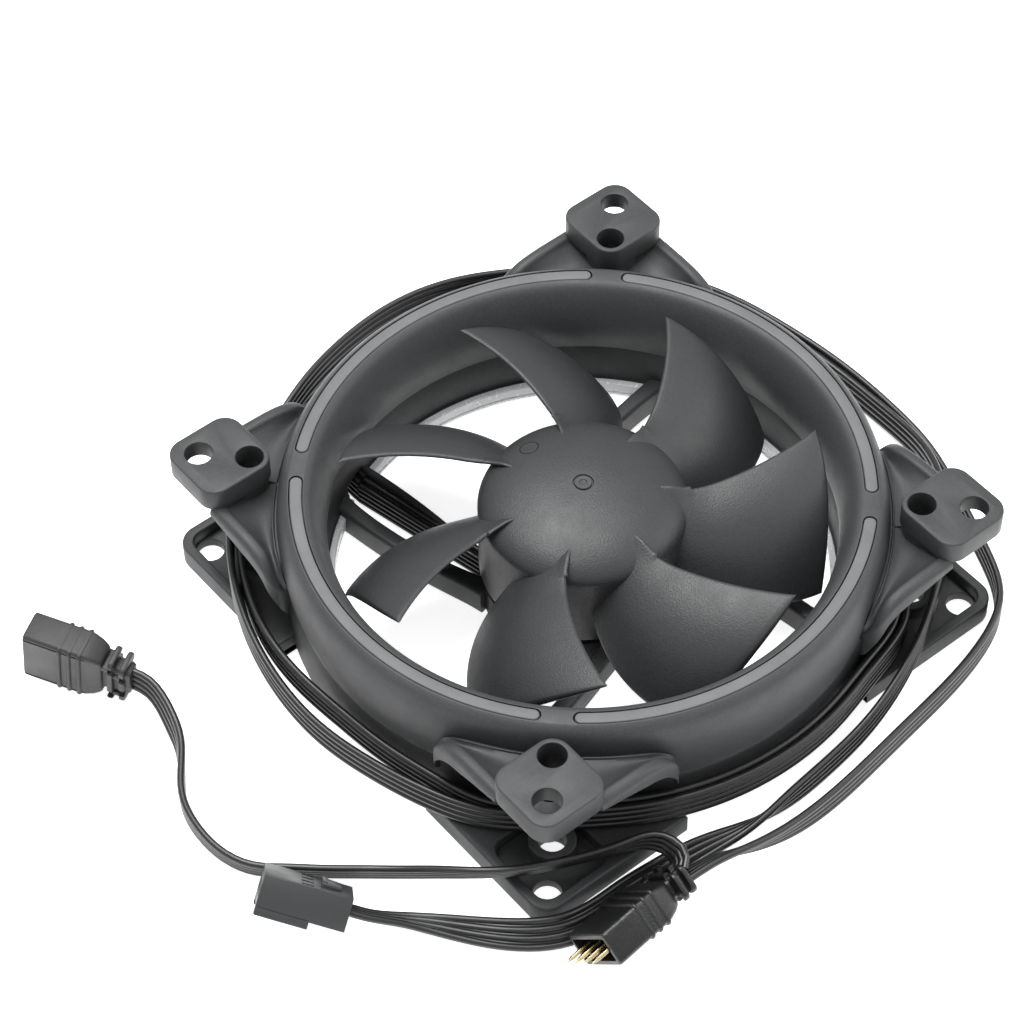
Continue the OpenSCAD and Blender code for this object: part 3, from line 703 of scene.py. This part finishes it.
def web_section(s):
    """Closed (distance, height) outline of the web at s: lip, trough, rolled rim and underside."""
    far = PAD_OUT - 0.4
    ring = math.sqrt(RING_R ** 2 - s * s)
    root = math.sqrt(WEB_ROOT_R ** 2 - s * s)
    t = min(1.0, (s - WEB_TIP) / TIP_ROUND)
    out = ring + (far - ring) * max(0.04, math.sqrt(1 - (1 - t) ** 2))
    k = min(1.0, (out - ring) / 4.6)
    rim, lip = rim_height(s), lip_height(s)
    bead = ring + 0.85 * k
    upper = [(root, lip - 0.4), (bead - 0.32 * k, lip - 0.4), (bead - 0.2 * k, lip - 0.1),
             (bead - 0.07 * k, lip), (bead + 0.08 * k, lip - 0.02), (bead + 0.24 * k, lip - 0.32)]
    start, end = bead + 0.24 * k, out - 2.3 * k
    for u in (0.12, 0.28, 0.46, 0.64, 0.8, 0.92):
        upper.append((mix(start, end, u), mix(lip - 0.32, rim - 0.6, u * u)
                      - 0.5 * k * math.sin(math.pi * u)))
    upper += [(end, rim - 0.6), (out - 2.15 * k, rim - 0.35), (out - 1.95 * k, rim - 0.1),
              (out - 1.6 * k, rim)]
    upper += [(out - 1.1 * k * (1 - math.sin(a)), rim - 1.1 * k * (1 - math.cos(a)))
              for a in np.radians([0, 22, 45, 67, 90])]
    depth = 3.2 - 1.4 * min(1.0, max(0.0, (s - 26) / 8)) + 2.2 * math.exp(-(s - WEB_TIP) / 1.2)
    under = [(out, rim - depth + 0.3), (out - 0.3 * k, rim - depth), (out - 1.0 * k, rim - depth),
             (out - 1.5 * k, rim - min(depth, 2.1)), (root, lip - 2.3)]
    return [(max(y, s), z) for y, z in upper + under]


def half_web():
    """Gutter-shaped sheet from its rounded tip on the ring to the pad."""
    near = [WEB_TIP + TIP_ROUND * (1 - math.cos(a)) for a in np.radians(np.arange(4, 91, 8.6))]
    stations = near + list(np.linspace(WEB_TIP + 2.5, 34, 30))
    return loft([[(s, y, z) for y, z in web_section(s)] for s in stations])


def front_bracket():
    web = half_web()
    other = [(y, x, z) for x, y, z in web[0]], web[1]
    pad_in = PAD_OUT - PAD_SIDE
    low = FRAME_DEPTH - PAD_T
    pad = plate(rounded_rect(pad_in, pad_in, PAD_OUT, PAD_OUT, 3, 12), low, FRAME_DEPTH, 0.3,
                mount_holes(), foot=0.15)
    pad = carved(pad, plate(circle((OUTER_H, OUTER_H), 3.1), low - 1, low + 1, 0.1))
    under = plate(rounded_rect(pad_in + 0.4, pad_in + 0.4, 40.3, 40.3, 2.6), 17.4, low + 0.1, 0,
                  mount_holes()[1:], foot=0.4)
    neck = plate(circle((INNER_H, INNER_H), 3.4), 16.4, 17.6, 0, mount_holes()[1:], foot=0.5)
    boss = plate(circle(polar(SCREW_R, SCREW_A), 1.5, 24), TRAY_FLOOR + 0.1, 17.6, 0.2)
    return joined(web, other, pad, under, neck, boss)


def add_front_frame():
    # the ring's lighter plastic paints the extra light it catches, as it is the same moulding as
    # the brackets
    ring = new_piece("front_ring", front_ring(), "bezel_plastic", ["front_frame"], sharp_deg=40)
    brackets = new_piece("front_brackets", four_corners(front_bracket()), "frame_plastic",
                         sharp_deg=42)
    return ring, brackets


def add_lighting():
    outline = strip_outline(SLOT_IN + 0.16, SLOT_OUT - 0.16, SLOT_HALF - 0.15)
    strip = plate(outline, 21.4, 24.05, 0.22, foot=0)
    carrier = lathe([(41.6, 21.4), (44.2, 21.4), (44.2, 22.3), (41.6, 22.3)], steps=144)
    new_piece("diffuser_strips", joined(four_corners(strip), carrier), "diffuser",
              ["light_diffuser"])
    rim = [(38.45, 1.25), (39.25, 1.25), (39.33, 1.4), (39.33, 3.9), (39.2, 3.98), (38.5, 3.98),
           (38.3, 3.85), (38.35, 2.2), (38.5, 2.0), (38.35, 1.8)]
    arcs = [lathe(rim, first, last) for first, last in
            ((119.5, 208.6), (215, 298.6), (305, 388.6), (395, 470.7))]
    new_piece("light_ring", joined(*arcs), "clear_ring", ["inner_light_ring"])


# --------------------------------------------------------------- rear frame
def rear_ring():
    outline = ([(39.6, 4), (40, JOINT_IN_Z - 0.12), (40.1, JOINT_IN_Z), (41.4, JOINT_IN_Z),
                (41.4, 3.2), (44.3, 3.2), (44.3, JOINT_OUT_Z), (45.3, JOINT_OUT_Z),
                (45.42, JOINT_OUT_Z - 0.12), (45.55, 8.4), (45.7, 6)]
               + arc((43, 3), 3, 0, -90, 12)[:-1] + arc((41.6, 2.2), 2.2, -90, -180, 9)
               + [(39.4, 4)])
    notch = [polar(r, a) for r, a in ((38.2, 119), (38.2, 111.5), (41, 111.2), (43.4, 106.4),
                                      (47, 96.5), (48, 106), (47, 113), (42, 117.5))]
    return carved(lathe(outline, steps=240), plate(notch, -1, 5.6, 0))


def corner_tray():
    """Corner block with a pocket round its boss and its two mount holes."""
    half, r = PAD_OUT + 0.05, 3.5
    near = PAD_OUT + 0.75 - TRAY_LEG
    ring_a = math.degrees(math.acos(near / TRAY_RING_R))

    def block_outline(shrink):
        out = half - shrink
        return ([(TRAY_RING_R * math.sin(math.radians(ring_a)), near), (out, near)]
                + arc((half - r, half - r), r - shrink, 0, 90, 14)
                + [(near, out)] + arc((0, 0), TRAY_RING_R, ring_a, 90 - ring_a, 24)[:-1])

    out = PAD_OUT - 1.6
    low = out - 12.7
    cut_r, bend = 46.4, 2.2
    cut_a = math.degrees(math.acos(low / cut_r))
    pocket = ([(cut_r * math.sin(math.radians(cut_a)), low)]
              + arc((out - bend, low + bend), bend, -90, 0, 8)
              + arc((out - bend, out - bend), bend, 0, 90, 8)
              + arc((low + bend, out - bend), bend, 90, 180, 8)
              + arc((0, 0), cut_r, cut_a, 90 - cut_a, 20)[:-1])
    screw = circle(polar(SCREW_R, SCREW_A), 1.6, 24)
    screw_hole = circle(polar(SCREW_R, SCREW_A), 1.1, 24)
    floor = plate(block_outline(0.03), 0, TRAY_FLOOR + 0.02, 0, mount_holes() + [screw_hole],
                  foot=0.4)
    walls = plate(block_outline(0), 0.5, TRAY_H, 0.45, [pocket, screw], lip=0.3, foot=0)
    boss = plate(circle((INNER_H, INNER_H), 3.6), 0.6, TRAY_H, 0.3, mount_holes()[1:], foot=0)
    return joined(floor, walls, boss)


def bowed(p, q, sag, width, height, swell):
    """A curved bar with rounded long edges, wider by swell at both ends."""
    n = 20
    p, q = np.array(p), np.array(q)
    d = q - p
    side = np.array([-d[1], d[0]]) / np.linalg.norm(d)
    rings = []
    for i in range(n + 1):
        t = i / n
        middle = p + d * t + side * sag * 4 * t * (1 - t)
        w = width + swell * (math.exp(-t * 12) + 1.6 * math.exp(-(1 - t) * 10))
        outline = rounded_rect(-w / 2, 0.05, w / 2, height, 0.75, 5)
        rings.append([(*(middle + side * a), z) for a, z in outline])
    return loft(rings)


def motor_base():
    cup = lathe([(5.4, 0.25), (15.25, 0.25), (15.25, 0), (15.6, 0), (15.8, 0.2), (15.8, 4.8),
                 (15.65, 5), (14.5, 5), (14.4, 4.85), (14.4, 1.8), (5.4, 1.8), (5.4, 4.35),
                 (5.2, 4.5), (4.25, 4.5), (4.2, 4.4), (4.2, 0.25)], steps=192)
    exit_slot = turned(block(14.2, 18.2, 5.2, 5.2, 7, 7, 0.2, 0.1), 134)
    return carved(cup, moved(exit_slot, z=2.5))


def add_rear_frame():
    strut = bowed(polar(40.2, 31.6), polar(15.2, 67.6), -1.2, 2.7, 5, 0.8)
    rail = bowed(polar(41, 110.3), polar(20.5, 123.6), 0.5, 1.3, 5, 0.1)
    new_piece("rear_ring", rear_ring(), "frame_plastic", ["rear_frame"], sharp_deg=40)
    new_piece("rear_trays", four_corners(corner_tray()), "frame_plastic", sharp_deg=42)
    new_piece("spider", joined(four_corners(strut), rail, motor_base()), "frame_plastic",
              sharp_deg=42)


def add_fittings():
    shank = lathe([(0, 0.05), (0.75, 0), (1.0, 0.12), (1.05, 0.3), (1.05, 1.7), (0.9, 1.75),
                   (0.9, 8.4), (0.3, 8.7), (0, 8.7)], steps=32)
    bars = [turned(block(-0.75, 0.75, 0.3, 0.3, 0.9, 0.9, 0.05, 0.05), a) for a in (0, 90)]
    screw = moved(carved(shank, *bars), *polar(SCREW_R, SCREW_A))
    new_piece("screws", four_corners(screw), "black_screw", ["frame_screws"])
    label = lathe([(0, 0.01), (15.05, 0.01), (15.19, 0.08), (15.19, 0.24), (0, 0.24)], steps=144)
    new_piece("label_disc", label, "label", ["hub_label"])
    leads = []
    outline = cable_outline(4.5, 1.1)
    for first, last in (((-16.6, 34.7), (-11.4, 10.8)), ((-15.3, 35.3), (-10.1, 11.4))):
        first = np.array(first)
        d = np.array(last) - first
        side = np.array([-d[1], d[0]]) / np.linalg.norm(d)
        leads.append(loft([[(*(first + d * t + side * h), 2.65 + w) for w, h in outline]
                           for t in np.linspace(0, 1, 14)]))
    new_piece("leads", joined(*leads), "cable_jacket", ["motor_leads"], sharp_deg=50)


# ----------------------------------------------------------------- impeller
BLADES = 7
FIRST_BLADE = 28.8
TIP_R = 37.2
ROOT_R = 15.2
BLADE_T = 1.4
HUB_R = 16.0
HUB_TOP, HUB_FALL, HUB_REACH = 24.5, 5.4, 16.03
MARK_R, MARK_Z, MARK_A, MARK_TILT = 11.6, 22.8, 95, 19.5


def hub_wall(z):
    """Radius of the middle of the hub's wall and crown at height z."""
    return 15.3 * math.sqrt(1 - (min(4.9, max(0, z - 18.7)) / 5) ** 2)


def blade_point(u, s, side, thin=1.0):
    """u runs from hub to tip, below 0 for the fin over the crown; s from leading to trailing."""
    v = max(u, 0)
    r = mix(ROOT_R, TIP_R, v)
    root = min(1.0, max(0.0, (0.2 - u) / 0.285)) ** 1.6
    step = min(1.0, max(0.0, (0.055 - u) / 0.011)) * math.exp(-s / 0.05)
    lead_a, trail_a = -14.4 + 15.2 * v + 0.9 * step, -51 + 8.2 * v + 13.3 * v * v
    lead_z = 21.8 + 3.4 * v - 1.2 * v * v - BLADE_T / 2 + 1.3 * root + 0.35 * step
    trail_z = 11.6 - 4.6 * v + BLADE_T / 2
    run, drop = math.radians(trail_a - lead_a) * r, trail_z - lead_z
    chord = math.hypot(run, drop)
    nx, nz = -drop / chord, run / chord
    camber = 0.09 * chord * 4 * s * (1 - s)
    edge = min(1.0, min(s, 1 - s) / 0.022)
    half = side * BLADE_T / 2 * (0.45 + 2.2 * s * (1 - s)) * math.sqrt(1 - (1 - edge) ** 2) * thin
    x = run * s - nx * (camber + half)
    z = lead_z + drop * s - nz * (camber + half)
    reach = max(mix(ROOT_R, TIP_R, u), hub_wall(z) + 0.1 * u)
    return (*polar(reach, lead_a + math.degrees(x / r)), z)


def blade():
    """Thin aerofoil loops from root to tip, with rounded edges and a rounded tip."""
    round_in = [0, 0.003, 0.008, 0.014, 0.022]
    along = round_in + list(np.linspace(0.05, 0.95, 26)) + [1 - v for v in reversed(round_in)]
    spans = [(u, 1.0) for u in (-0.16, -0.12, -0.09, -0.06, -0.03, 0, 0.03, 0.044, 0.055, 0.08)]
    spans += [(u, 1.0) for u in np.linspace(0.11, 0.985, 24)]
    spans += [(0.992, 0.85), (0.997, 0.6), (1.0, 0.3)]
    rings = []
    for u, thin in spans:
        rings.append([blade_point(u, s, 1, thin) for s in along]
                     + [blade_point(u, s, -1, thin) for s in reversed(along[1:-1])])
    return loft(rings)


def dome(r, top, fall, reach):
    """Height at radius r of an elliptical dome."""
    return top - fall + fall * math.sqrt(max(0.0, 1 - (r / reach) ** 2))


def hub():
    """Domed cup with a ringed dimple on the axis and a ring-shaped gate mark on its crown."""
    crown = [(14.75, 6.3), (HUB_R - 0.1, 6.3), (HUB_R, 6.5), (HUB_R, 18.8), (HUB_R - 0.01, 19.3)]
    crown += [(r, dome(r, HUB_TOP, HUB_FALL, HUB_REACH))
              for r in (15.96, 15.85, 15.7, 15.5, 15.2, 14.8, 14.3, 13.7, 13, 12, 11, 10, 8.5, 7,
                        5.5, 4, 2.6)]
    crown += [(1.62, 24.45), (1.58, 24.38), (1.5, 24.2), (1.36, 24.2), (1.3, 24.4),
              (1.25, HUB_TOP), (0.62, HUB_TOP), (0.5, 24.36), (0, 24.34)]
    under = [(r, dome(r, 22.9, 4.6, 14.76)) for r in (0, 3, 6, 9, 11, 12.4, 13.4, 14.1, 14.5, 14.7)]
    shell = lathe(crown + under, steps=240)
    sleeve = lathe([(1, 17.7), (3, 17.7), (3.1, 17.8), (3.1, 23), (1, 23)], steps=48)
    mark = lathe([(1.38, -0.473), (1.52, -0.473), (1.52, 0.327), (1.38, 0.327)], steps=40)
    mark = placed(mark, Matrix.Translation((MARK_R, 0, MARK_Z))
                  @ Matrix.Rotation(math.radians(MARK_TILT), 4, "Y"))
    return joined(carved(shell, turned(mark, MARK_A)), sleeve)


def yoke():
    """Deep-drawn steel cup under the crown, its corner drawn to the crown's shoulder."""
    outer = [(r, dome(r, 22.4, 4.5, 14.7)) for r in (3.2, 6, 8.5, 10.5, 12, 13, 13.8, 14.3, 14.6)]
    inner = [(r, dome(r, 21.8, 3.4, 14.05)) for r in (13.95, 13.6, 13, 12, 10.5, 8.5, 6, 3.2)]
    return lathe([(14.05, 7.2), (14.6, 7.2), (14.7, 7.3), (14.7, 17.8)] + outer[::-1]
                 + inner[::-1] + [(14, 18.6), (14, 7.3)], steps=144)


def add_impeller():
    blades = [turned(blade(), FIRST_BLADE + 360 / BLADES * k) for k in range(BLADES)]
    new_piece("rotor", joined(hub(), *blades), "rotor_plastic", ["impeller"], body="rotor",
              sharp_deg=46)
    new_piece("yoke_cup", yoke(), "yoke_steel", ["rotor_yoke"], body="rotor", sharp_deg=40)


# --------------------------------------------------------------- connectors
def at_mouth(x, y, z, heading, roll, pitch):
    return (Matrix.Translation((x, y, z)) @ Matrix.Rotation(math.radians(heading), 4, "Z")
            @ Matrix.Rotation(math.radians(pitch), 4, "Y")
            @ Matrix.Rotation(math.radians(roll), 4, "X"))


LIGHT_PLUG_PLACE = at_mouth(-44, -54.9, 5.8, 6, -48, 0)
LIGHT_SOCKET_PLACE = at_mouth(-74.9, 40.8, 6.45, -58.5, 91, 6)
FAN_PLUG_PLACE = at_mouth(-76.3, -18.4, 6.85, -49, -48, 15)
PIN_PITCH = 2.54
WAY_PITCH = 2.3
ROW = (-1.5, -0.5, 0.5, 1.5)


def plug_piece(node, name, part, place, slot, sharp_deg=32):
    """A connector's piece, placed at the connector and standing for its CAD node."""
    new_piece(name, placed(part, place), slot, [node], sharp_deg=sharp_deg)


def pin_row(x0, x1, side, taper=0.0):
    """Four bars along X, a pitch apart, with tapering tips when taper is given."""
    row = []
    for k in ROW:
        bar = block(x0 + taper, x1, side, side, side, side, 0.06, 0.02)
        if taper:
            bar = joined(bar, block(x0, x0 + taper + 0.02, side * 0.25, side, side * 0.25, side,
                                    0.06, 0.01))
        row.append(moved(bar, y=k * PIN_PITCH))
    return joined(*row)


def relief(x0, length):
    """Slotted collars of a moulded strain relief around a core."""
    parts = [block(x0 - 0.3, x0 + length, 5.8, 5.2, 3.2, 2.9, 0.8, 0.3, 5)]
    for k in range(2):
        x = x0 + 0.9 + 1.9 * k
        collar = block(x, x + 0.9, 9.1 - k, 9.1 - k, 4.6, 4.6, 1.0, 0.22, 6)
        notch = block(x - 0.5, x + 1.4, 1.5, 1.5, 1.5, 1.5, 0.2, 0.05)
        parts.append(carved(collar, *[moved(notch, y=side * (2.9 - 1.2 * k), z=h * 2.2)
                                      for side in (-1, 1) for h in (-1, 1)]))
    for x, y in ((x0 + 0.45, 2.6), (x0 + 2.3, 1.4), (x0 + 2.3, -2.8)):
        parts.append(moved(block(x - 0.55, x + 0.55, 0.8, 0.8, 3.9, 3.9, 0.2, 0.08), y=y))
    return joined(*parts)


def moulded_body(length, seams):
    """Over-moulded plug: open mouth, grip ribs round its broad faces, tapered back and relief."""
    rings = []
    for x, side, face in ((0, 0.25, 0.25), (0.12, 0.08, 0.08), (0.3, 0, 0), (length * 0.7, 0, 0),
                          (length * 0.8, 0.12, 0.1), (length * 0.9, 0.55, 0.35),
                          (length - 0.4, 1.1, 0.6), (length - 0.12, 1.35, 0.8),
                          (length, 1.7, 1.1)):
        w, h = 5.1 - side, 2.7 - face
        rings.append([(x, y, z) for y, z in rounded_rect(-w, -h, w, h, 0.7, 6)])
    cutters = [block(-1, 9, 8.8, 8.8, 3.8, 3.8, 0.3, 0.05)]
    if seams:
        groove = block(-0.5, length * 0.93, 0.34, 0.34, 0.5, 0.5, 0.1, 0.05)
        cutters += [moved(groove, y=side * 4.35, z=2.75) for side in (-1, 1)]
    parts = [carved(loft(rings), *cutters)]
    for k in range(3):
        x = length - 6.65 + 1.6 * k
        band = loft([[(x + dx, y, z) for y, z in rounded_rect(-w, -h, w, h, 0.9, 6)]
                     for dx, w, h in ((-0.36, 5.0, 2.66), (-0.3, 5.13, 2.9), (-0.12, 5.15, 3.07),
                                      (0.12, 5.15, 3.07), (0.3, 5.13, 2.9), (0.36, 5.0, 2.66))])
        core = block(x - 1, x + 1, 9.6, 9.6, 5.2, 5.2, 0.7, 0.05)
        parts.append(carved(band, core) if x < 9 else band)
    parts.append(relief(length, 4.4))
    return joined(*parts)


def add_moulded_plugs():
    """Light plug with four gold pins, and the light socket that takes such pins."""
    place = LIGHT_PLUG_PLACE
    plug_piece("light_plug_body", "light_plug_shell", moulded_body(13.4, False), place,
               "moulded_plug", 40)
    dimples = [moved(block(4.6, 5.25, 1.5, 1.5, 1.5, 1.5, 0.5, 0.05), y=k * PIN_PITCH)
               for k in ROW]
    holder = carved(block(5, 9, 8.75, 8.75, 3.75, 3.75, 0.1, 0.12), *dimples)
    plug_piece("light_plug_insert", "light_plug_holder", holder, place, "insert")
    feet = [moved(block(5.1, 5.5, 1.25, 1.25, 1.25, 1.25, 0.5, 0.12), y=k * PIN_PITCH)
            for k in ROW]
    plug_piece("light_plug_pins", "light_plug_gold", joined(pin_row(-3, 8.9, 0.56, 1.1), *feet),
               place, "gold_pin")
    place = LIGHT_SOCKET_PLACE
    plug_piece("light_socket_body", "light_socket_shell", moulded_body(12.6, True), place,
               "moulded_socket", 40)
    core = carved(block(0.4, 9, 8.75, 8.75, 3.75, 3.75, 0.1, 0.15), pin_row(-1, 8.2, 1.16))
    plug_piece("light_socket_insert", "light_socket_core", core, place, "insert")
    springs = carved(pin_row(1.2, 8.2, 1.08), pin_row(0, 7.4, 0.78))
    plug_piece("light_socket_contacts", "light_socket_springs", springs, place, "gold_pin")


def add_fan_plug():
    """Four-way crimp housing with guide ribs below its mouth, side slots and a rear latch."""
    offsets = [k * WAY_PITCH for k in ROW]
    body = moved(block(0, 13.1, 9.4, 9.4, 5, 5, 0.12, 0.1, 2), z=2.5)
    ways = [moved(block(-1, 11.6, 1.3, 1.3, 2, 2, 0.1, 0.05), y=y, z=2.4) for y in offsets]
    pocket = moved(block(11.4, 14.4, 5.6, 5.6, 2, 2, 0.2, 0.1), z=2.5)
    tangs = [moved(block(5.4, 7.2, 0.8, 0.8, 1.4, 1.4, 0.1, 0.05), y=y, z=4.6) for y in offsets]
    slits = [moved(block(-0.4, 0.9, 0.55, 0.55, 1.1, 1.1, 0.1, 0.05), y=y, z=4.3)
             for y in (-3.45, 3.45)]
    ribs = [moved(block(0, 7.9, 1.8, 1.8, 1.45, 1.45, 0.12, 0.1, 2), y=y, z=-0.32)
            for y in (-3.8, 3.8)]
    latch = joined(moved(block(8.3, 11.3, 4, 4, 1, 0.6, 0.2, 0.12, 3), z=5.2),
                   moved(block(8.3, 9.1, 3.4, 3.4, 0.5, 0.4, 0.1, 0.08, 3), z=5.6))
    shell = joined(carved(body, *ways, pocket, *tangs, *slits), *ribs, latch)
    plug_piece("fan_plug_housing", "fan_plug_shell", shell, FAN_PLUG_PLACE, "plug_housing", 40)
    crimps = []
    for y in offsets:
        box = carved(block(1, 11.35, 1.1, 1.1, 1.6, 1.6, 0.12, 0.05),
                     block(0, 8, 0.74, 0.74, 1.1, 1.1, 0.1, 0.05))
        crimps.append(moved(box, y=y, z=2.4))
    plug_piece("fan_plug_terminals", "fan_plug_crimps", joined(*crimps), FAN_PLUG_PLACE, "tinned")


# ------------------------------------------------------- carried-over nodes
def paint_inner_nodes():
    """Materials for the CAD nodes that stay as they are, inside the motor and the ring."""
    slots = {"led_board": "white_board", "leds": "led_body", "motor_board": "green_board",
             "hall_sensor": "chip", "stator_core": "lamination", "stator_insulator": "bobbin",
             "windings": "copper_wire", "bearing_tube": "brass", "bearing_sleeve": "bronze",
             "thrust_washer": "bobbin", "retaining_clip": "tinned", "rotor_shaft": "shaft_steel",
             "magnet_ring": "magnet"}
    for node, slot in slots.items():
        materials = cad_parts[node].data.materials
        materials.clear()
        materials.append(MATERIALS[slot])


# -------------------------------------------------------------------- stage
FLOOR_HALF = 6000
FLOOR_Z = -0.02


def add_floor():
    corners = [(x * FLOOR_HALF, y * FLOOR_HALF, FLOOR_Z)
               for x, y in ((-1, -1), (1, -1), (1, 1), (-1, 1))]
    floor = raw_object((corners, [(0, 1, 2, 3)]), "floor")
    paint = Paint("floor", 0.85, specular=0.2)
    paint.colour(paint.ramp(paint.noise(60), [(0.3, grey(0.93)), (0.7, grey(0.95))]))
    paint.shader.inputs["Emission Color"].default_value = (1, 1, 1, 1)
    paint.shader.inputs["Emission Strength"].default_value = 0.8
    floor.data.materials.append(paint.material)


def add_world():
    """Soft surrounding light, dimmer towards the horizon and below it."""
    world = bpy.data.worlds.new("world")
    bpy.context.scene.world = world
    world.use_nodes = True
    tree = world.node_tree
    place = tree.nodes.new("ShaderNodeTexCoord")
    split = tree.nodes.new("ShaderNodeSeparateXYZ")
    sky = tree.nodes.new("ShaderNodeValToRGB")
    tree.links.new(place.outputs["Generated"], split.inputs["Vector"])
    tree.links.new(split.outputs["Z"], sky.inputs["Fac"])
    tree.links.new(sky.outputs["Color"], tree.nodes["Background"].inputs["Color"])
    for element, position, level in zip(sky.color_ramp.elements, (0.0, 0.75), (0.3, 1)):
        element.position = position
        element.color = (*grey(level), 1)
    tree.nodes["Background"].inputs["Strength"].default_value = 1.0
    bpy.context.scene.view_settings.view_transform = "Standard"


def add_lamps():
    for name, place, power, size in (("key", (0, 0.2, 0.75), 7.5, 0.5),
                                     ("fill", (0.6, -0.4, 0.5), 2.5, 0.6)):
        light = bpy.data.lights.new(name, "AREA")
        light.energy = power
        light.size = size
        lamp = bpy.data.objects.new(name, light)
        lamp.location = place
        lamp.rotation_euler = (-Vector(place)).to_track_quat("-Z", "Y").to_euler()
        bpy.context.scene.collection.objects.link(lamp)


add_moulded_plugs()
add_fan_plug()
add_cables()
add_front_frame()
add_lighting()
add_rear_frame()
add_fittings()
add_impeller()
paint_inner_nodes()
add_floor()
add_world()
add_lamps()
